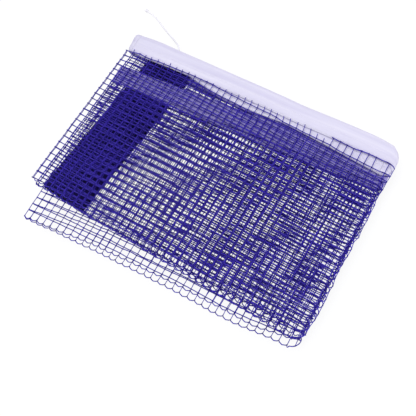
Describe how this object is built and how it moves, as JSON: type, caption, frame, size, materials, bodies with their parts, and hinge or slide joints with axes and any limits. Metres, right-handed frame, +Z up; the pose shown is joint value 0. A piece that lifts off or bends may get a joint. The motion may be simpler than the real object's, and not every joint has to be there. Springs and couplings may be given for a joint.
{
  "type": "table tennis net",
  "caption": "Folded table tennis net: mesh panels with a white top tape, tension cord and dark cloth end sleeves, opening like an accordion.",
  "frame": {"origin": "bottom centre of the folded bundle, measured without the free cord end", "axes": "+X along the top tape, +Y from the lowest thread to the tape, +Z up through the folded layers"},
  "size_m": [0.2649, 0.2039, 0.0204],
  "materials": {
    "netting": "matte",
    "tape": "matte",
    "cord": "matte",
    "sleeve_cloth": "matte",
    "thread": "matte"
  },
  "bodies": {
    "panel_1": {"netting_1": "netting", "tape_1": "tape", "cord_1": "cord", "netting_fold_1_2": "netting", "tape_fold_1_2": "tape", "cord_fold_1_2": "cord", "sleeve_back": "sleeve_cloth", "stitching_back_sleeve": "thread"},
    "panel_2": {"netting_2": "netting", "tape_2": "tape", "cord_2": "cord", "netting_fold_2_3": "netting", "tape_fold_2_3": "tape", "cord_fold_2_3": "cord"},
    "panel_3": {"netting_3": "netting", "tape_3": "tape", "cord_3": "cord", "netting_fold_3_4": "netting", "tape_fold_3_4": "tape", "cord_fold_3_4": "cord"},
    "front_bundle": {"netting_4": "netting", "tape_4": "tape", "cord_4": "cord", "netting_5": "netting", "tape_5": "tape", "cord_5": "cord", "netting_6": "netting", "tape_6": "tape", "cord_6": "cord", "netting_7": "netting", "tape_7": "tape", "cord_7": "cord", "netting_8": "netting", "tape_8": "tape", "cord_8": "cord", "netting_fold_4_5": "netting", "tape_fold_4_5": "tape", "cord_fold_4_5": "cord", "netting_fold_5_6": "netting", "tape_fold_5_6": "tape", "cord_fold_5_6": "cord", "netting_fold_6_7": "netting", "tape_fold_6_7": "tape", "cord_fold_6_7": "cord", "netting_fold_7_8": "netting", "tape_fold_7_8": "tape", "cord_fold_7_8": "cord", "netting_fold_8_flap": "netting", "tape_fold_8_flap": "tape", "cord_fold_8_flap": "cord"},
    "tucked_end": {"netting_flap": "netting", "tape_flap": "tape", "cord_flap": "cord", "sleeve_front": "sleeve_cloth", "stitching_front_sleeve": "thread", "cord_tail": "cord", "cord_tail_knot": "cord"}
  },
  "joints": [
    {"name": "fold_1_2_opens", "type": "hinge", "parent": "panel_1", "child": "panel_2", "pos_m": [0.10535, 0.01163, 0.00215], "axis": [0, 1, 0], "range_deg": [0, 180], "deforming": ["netting_fold_1_2", "tape_fold_1_2", "cord_fold_1_2"]},
    {"name": "fold_2_3_opens", "type": "hinge", "parent": "panel_2", "child": "panel_3", "pos_m": [-0.08558, 0.01163, 0.00445], "axis": [0, -1, 0], "range_deg": [0, 180], "deforming": ["netting_fold_2_3", "tape_fold_2_3", "cord_fold_2_3"]},
    {"name": "fold_3_4_opens", "type": "hinge", "parent": "panel_3", "child": "front_bundle", "pos_m": [0.11671, 0.00463, 0.0079], "axis": [-0.0319, 0.9995, 0], "range_deg": [0, 180], "deforming": ["netting_fold_3_4", "tape_fold_3_4", "cord_fold_3_4"]},
    {"name": "fold_8_flap_opens", "type": "hinge", "parent": "front_bundle", "child": "tucked_end", "pos_m": [-0.12385, 0.01163, 0.01365], "axis": [0, 1, 0], "range_deg": [0, 180], "deforming": ["netting_fold_8_flap", "tape_fold_8_flap", "cord_fold_8_flap"]}
  ],
  "couplings": [
    {"joint": "fold_2_3_opens", "follows": "fold_1_2_opens", "ratio": 1},
    {"joint": "fold_3_4_opens", "follows": "fold_1_2_opens", "ratio": 1},
    {"joint": "fold_8_flap_opens", "follows": "fold_1_2_opens", "ratio": 1}
  ]
}
